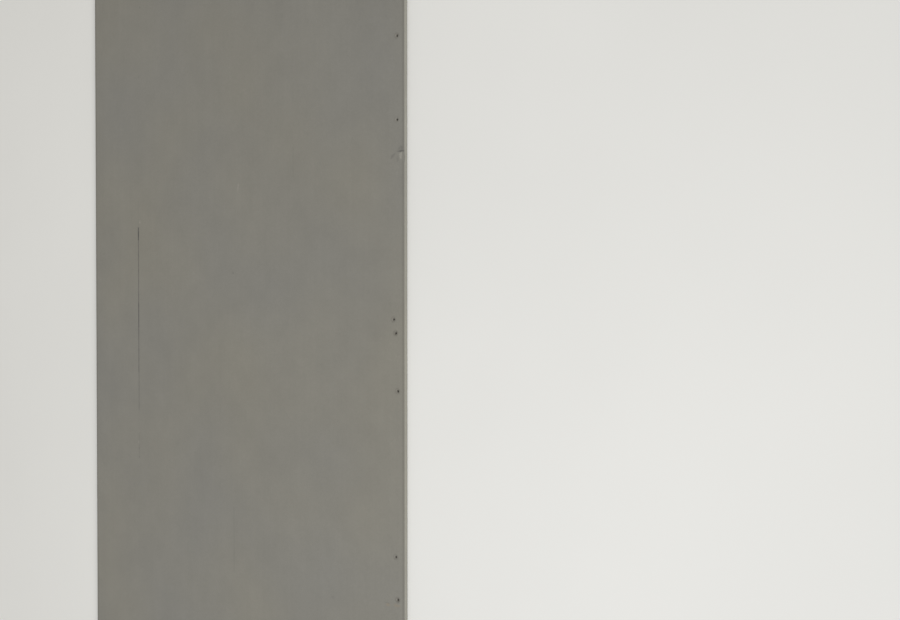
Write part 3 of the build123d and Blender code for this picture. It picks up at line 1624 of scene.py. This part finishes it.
    def build(self) -> bpy.types.Object:
        """Make the sheet.

        Returns:
            The sheet's object, dressed and riding on the frame.
        """
        self.mesh.verts.layers.float.new(RESIDUE)
        self.mesh.verts.layers.float.new(TORN)
        self.skin()
        for row, side in ((0, -1), (len(self.rows) - 1, 1)):
            loop = [self.at(i, row) for i in range(len(self.outline))]
            self.close_end(CutEnd(self.section, self.relief, side * self.length / 2), loop)
        bmesh.ops.recalc_face_normals(self.mesh, faces=self.mesh.faces[:])
        self.crisp_edges()
        self.open_edges = sum(1 for edge in self.mesh.edges if not edge.is_manifold)
        data = bpy.data.meshes.new(self.piece)
        self.mesh.to_mesh(data)
        self.mesh.free()
        for finish in self.finishes:
            data.materials.append(finish.material())
        sheet = bpy.data.objects.new(self.piece, data)
        bpy.context.scene.collection.objects.link(sheet)
        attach(sheet, "root")
        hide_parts(SHEET_NODE)
        return sheet


@dataclass
class Studio:
    """Pale floor, soft light from above and the right, and the camera, in metres and degrees.

    The camera looks down on the sheet from the side of its right edge, 33 degrees off the square,
    as the photograph's does, with the sheet's ends outside the picture.
    """

    picture_width_px: float = 900.0
    focal_px: float = 867.0
    sensor_mm: float = 36.0
    camera_place: tuple[float, float, float] = (1.822, 0.025, 1.694)
    turn_deg: float = 33.0
    pitch_deg: float = 0.63

    # The floor lies a hair below the sheet, so that the two never share a plane.
    backdrop: str = "#d8d7d3"
    floor_radius: float = 60.0
    floor_sides: int = 96
    floor_gap: float = 0.0004

    sky_colour: str = "#fffefa"
    sky_strength: float = 0.53
    sun_strength: float = 1.4
    sun_height_deg: float = 24.0
    sun_turn_deg: float = -12.0
    sun_angle_deg: float = 25.0
    lamp_place: tuple[float, float, float] = (1.6, -1.0, 3.0)
    lamp_aim: tuple[float, float, float] = (0.6, -0.5, 0.0)
    lamp_colour: str = "#f5f9ff"
    lamp_watts: float = 34.5
    lamp_size: float = 1.6

    def floor(self) -> bpy.types.Object:
        """Lay the floor.

        Returns:
            The floor's object, which is part of the stage and not of the sheet.
        """
        mesh = bmesh.new()
        bmesh.ops.create_circle(
            mesh, cap_ends=True, segments=self.floor_sides, radius=self.floor_radius
        )
        data = bpy.data.meshes.new("studio_floor")
        mesh.to_mesh(data)
        mesh.free()
        data.materials.append(MattFloor(self.backdrop).material())
        floor = bpy.data.objects.new("studio_floor", data)
        floor.location.z = -self.floor_gap
        bpy.context.scene.collection.objects.link(floor)
        return floor

    def lights(self) -> list[bpy.types.Object]:
        """Hang a low soft key from the right and a broad lamp overhead.

        Returns:
            The two lamps.
        """
        key = bpy.data.lights.new("window_light", "SUN")
        key.color = linear(self.sky_colour)[:3]
        key.energy = self.sun_strength
        key.angle = math.radians(self.sun_angle_deg)
        broad = bpy.data.lights.new("broad_lamp", "AREA")
        broad.color = linear(self.lamp_colour)[:3]
        broad.energy = self.lamp_watts
        broad.size = self.lamp_size
        away = Vector(self.lamp_place) - Vector(self.lamp_aim)
        turns = {
            key: (0, math.radians(90 - self.sun_height_deg), math.radians(self.sun_turn_deg)),
            broad: away.to_track_quat("Z", "Y").to_euler(),
        }
        lamps = []
        for light, turn in turns.items():
            lamp = bpy.data.objects.new(light.name, light)
            lamp.location = self.lamp_place
            lamp.rotation_euler = turn
            lamp.visible_camera = False
            bpy.context.scene.collection.objects.link(lamp)
            lamps.append(lamp)
        return lamps

    def sky(self) -> None:
        """Light the sheet evenly from all round, and show the camera the pale backdrop."""
        world = bpy.data.worlds.new("even_sky")
        world.use_nodes = True
        tree = world.node_tree
        tree.nodes.clear()
        light = {"Color": linear(self.sky_colour), "Strength": self.sky_strength}
        glow = add_node(tree, "ShaderNodeBackground", None, light)
        pale = {"Color": linear(self.backdrop)}
        backdrop = add_node(tree, "ShaderNodeBackground", None, pale)
        sides = {0: backdrop_rays(tree), 1: glow.outputs[0], 2: backdrop.outputs[0]}
        mixed = add_node(tree, "ShaderNodeMixShader", None, sides)
        add_node(tree, "ShaderNodeOutputWorld", None, {"Surface": mixed.outputs[0]})
        bpy.context.scene.world = world

    def camera(self) -> bpy.types.Object:
        """Set up the camera at the photograph's angle to the sheet.

        Returns:
            The camera, which the scene now looks through.
        """
        data = bpy.data.cameras.new("camera")
        data.sensor_width = self.sensor_mm
        data.lens = self.sensor_mm * self.focal_px / self.picture_width_px
        camera = bpy.data.objects.new("camera", data)
        turn, pitch = math.radians(self.turn_deg), math.radians(self.pitch_deg)
        level = math.cos(pitch)
        look = Vector((-math.sin(turn) * level, -math.sin(pitch), -math.cos(turn) * level))
        right = Vector((math.cos(turn), 0, -math.sin(turn)))
        camera.rotation_euler = Matrix((right, right.cross(look), -look)).transposed().to_euler()
        camera.location = self.camera_place
        bpy.context.scene.collection.objects.link(camera)
        bpy.context.scene.camera = camera
        return camera

    def build(self) -> list[bpy.types.Object]:
        """Set up the sky and the plain view, and then all that stands in the studio.

        Returns:
            The floor, the lamps and the camera.
        """
        self.sky()
        bpy.context.scene.view_settings.view_transform = "Standard"
        return [self.floor(), *self.lights(), self.camera()]


def screw_dirt(place_mm: float) -> float:
    """How dark the smudge is round the screw hole at this place along the sheet."""
    return SMUDGES[min(SMUDGES, key=lambda place: abs(place - place_mm))]


def screw_holes(record: dict[str, Any]) -> list[ScrewHole]:
    """Find the sheet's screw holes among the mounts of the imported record.

    Args:
        record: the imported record.

    Returns:
        The holes, from the far end of the sheet to the near one.
    """
    holes = []
    for mount in record["mounts"]:
        x, y = mount["pos_m"][0] / MM, mount["pos_m"][1] / MM
        if mount["kind"] == "bolt_pattern":
            apart = mount["dims"]["spacing_y_mm"] / 2
            radius, places = mount["dims"]["hole_r_mm"], (y + apart, y - apart)
            holes += [ScrewHole(x, place, radius, screw_dirt(place)) for place in places]
        if mount["kind"] == "bore":
            holes.append(ScrewHole(x, y, mount["dims"]["r_mm"], screw_dirt(y)))
    return sorted(holes, key=lambda hole: -hole.y)


def sheet_marks() -> tuple[Mark, ...]:
    """The marks on the face, in the places that the photograph shows.

    Returns:
        The marks, each given by its middle, half width, half length and strength.
    """
    line = -389.5
    # From its faint start past a dark head, a long run, and a run that comes and goes.
    pencil_line = (
        Mark(line, 291.0, 1.4, 45.0, 0.1, ruled=True),
        Mark(line, 226.0, 3.4, 20.0, 0.6, ruled=True),
        Mark(line, 21.0, 3.0, 213.0, 0.46, ruled=True),
        Mark(line, -21.0, 3.0, 37.0, 0.3, ruled=True),
        Mark(line + 0.5, -248.0, 2.8, 58.0, 0.26, ruled=True),
        Mark(line + 0.5, -412.0, 2.4, 38.0, 0.12, ruled=True),
        Mark(line, -420.0, 2.2, 6.0, 0.3),
        Mark(line, -447.0, 2.2, 6.0, 0.3),
    )
    # Pale rubs, dark spots, thin scores along the sheet, and smears near its right edge.
    scuffs = (
        Mark(-382.0, 261.0, 5.0, 6.0, 0.14, Tone.PALE),
        Mark(-391.0, -402.0, 5.0, 6.0, 0.14, Tone.PALE),
        Mark(-379.0, 904.0, 4.0, 4.0, 0.25),
        Mark(-386.0, 696.0, 3.0, 4.0, 0.16),
        Mark(36.5, 335.0, 2.6, 18.0, 0.2, Tone.PALE, -4.0),
        Mark(16.0, 101.0, 5.0, 5.0, 0.26),
        Mark(240.5, 387.0, 0.9, 40.0, 0.2, ruled=True),
        Mark(241.0, 567.0, 0.9, 27.0, 0.14, ruled=True),
        Mark(17.0, -638.0, 1.2, 92.0, 0.24, ruled=True),
        Mark(375.0, -730.0, 8.0, 7.0, 0.12),
        Mark(550.0, -716.0, 11.0, 6.0, 0.3, Tone.WARM),
        Mark(577.0, -713.0, 14.0, 5.0, 0.28, Tone.WARM),
        Mark(548.0, -711.5, 11.0, 2.5, 0.16),
    )
    # The grime round the knock, painted shade along its crease, the paper rubbed pale in it, and
    # two smears.
    knock = (
        Mark(588.0, 390.0, 11.0, 9.0, 0.22),
        # Painted shade: a dark bar where the dent's crease falls into shadow.
        Mark(588.5, 383.5, 13.0, 2.6, 0.62, turn_deg=-4.0),
        Mark(588.5, 373.0, 7.0, 13.0, 0.22, Tone.PALE),
        Mark(579.0, 364.0, 5.0, 9.0, 0.14),
        Mark(566.0, 374.0, 13.0, 5.0, 0.22, turn_deg=38.0),
    )
    return pencil_line + scuffs + knock


def main() -> None:
    """Build the sheet and the studio, report each piece, and note the size of what shows."""
    logging.basicConfig(level=logging.INFO, format="%(name)s: %(message)s")
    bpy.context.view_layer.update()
    low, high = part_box(SHEET_NODE)
    section = BoardSection(width=(high[0] - low[0]) / MM, thickness=(high[2] - low[2]) / MM)
    face_paper = FacePaper(marks=sheet_marks(), half_width_mm=section.half)
    sheet = WallboardSheet(
        section=section,
        relief=Relief(section),
        holes=screw_holes(frame["record"]),
        length=(high[1] - low[1]) / MM,
        finishes=(face_paper, BackPaper(), FoamedGypsum()),
    )
    wallboard = sheet.build()
    triangles = sum(len(polygon.vertices) - 2 for polygon in wallboard.data.polygons)
    facts = (wallboard.name, triangles, sheet.open_edges, len(sheet.holes))
    log.info("%s: %d triangles, %d open edges, %d screw holes", *facts)
    for piece in Studio().build():
        log.info("%s: in place", piece.name)


if __name__ == "__main__":
    main()
